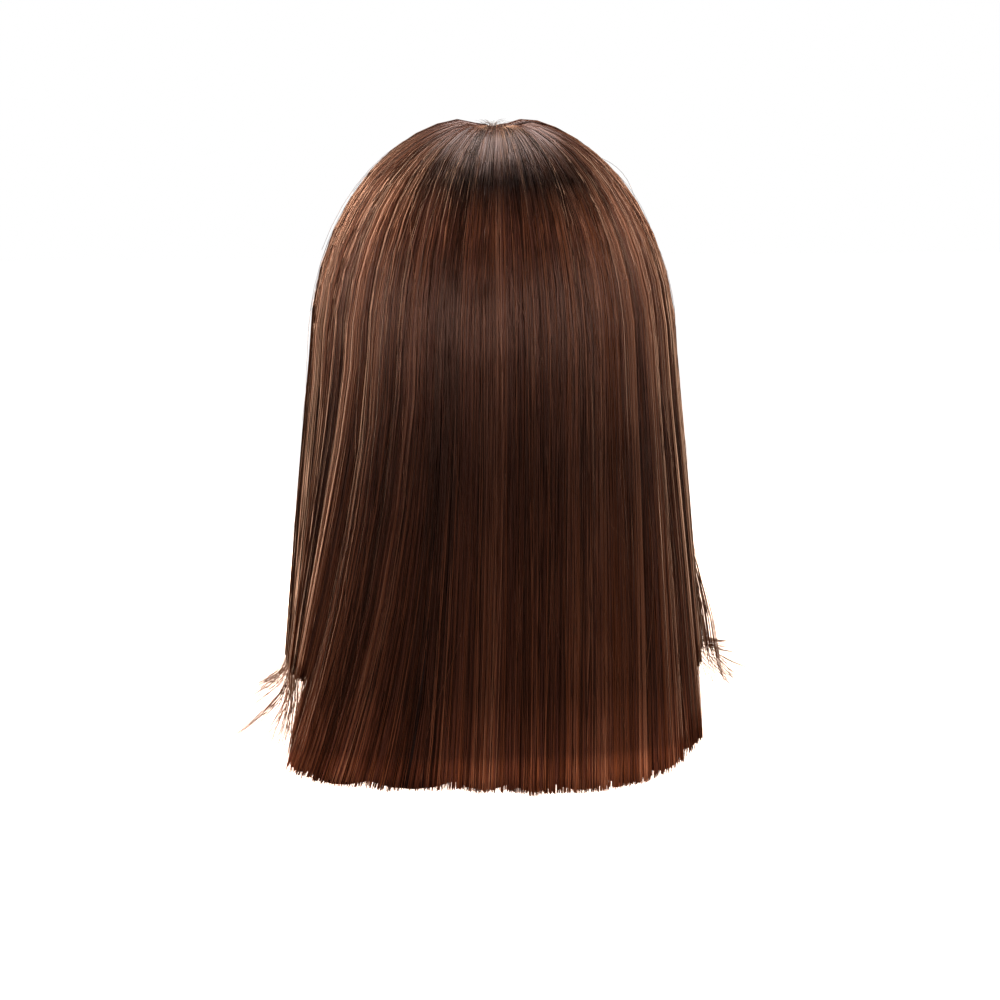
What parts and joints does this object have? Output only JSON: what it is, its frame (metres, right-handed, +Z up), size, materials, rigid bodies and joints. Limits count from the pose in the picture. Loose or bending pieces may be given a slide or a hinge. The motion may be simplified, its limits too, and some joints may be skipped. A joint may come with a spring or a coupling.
{
  "type": "bob wig",
  "caption": "Straight dark brown bob wig with a centre parting: an open cap under layered walls of hair with a blunt hem.",
  "frame": {"origin": "the inner top of the cap, where the wearer's head bears", "axes": "+Z up, the open face towards -Y, the wearer's left towards +X"},
  "size_m": [0.2834, 0.2044, 0.3609],
  "materials": {
    "hair": "satin",
    "under_hair": "satin",
    "cap_net": "matt net",
    "part_lace": "matt lace"
  },
  "bodies": {
    "root": {"cap": "cap_net", "part_strip": "part_lace", "hair_back": "hair", "hair_left": "hair", "hair_right": "hair", "front_left": "hair", "front_right": "hair", "under_back": "under_hair", "under_left": "under_hair", "under_right": "under_hair", "shoulder_left": "hair", "shoulder_right": "hair"}
  },
  "joints": []
}
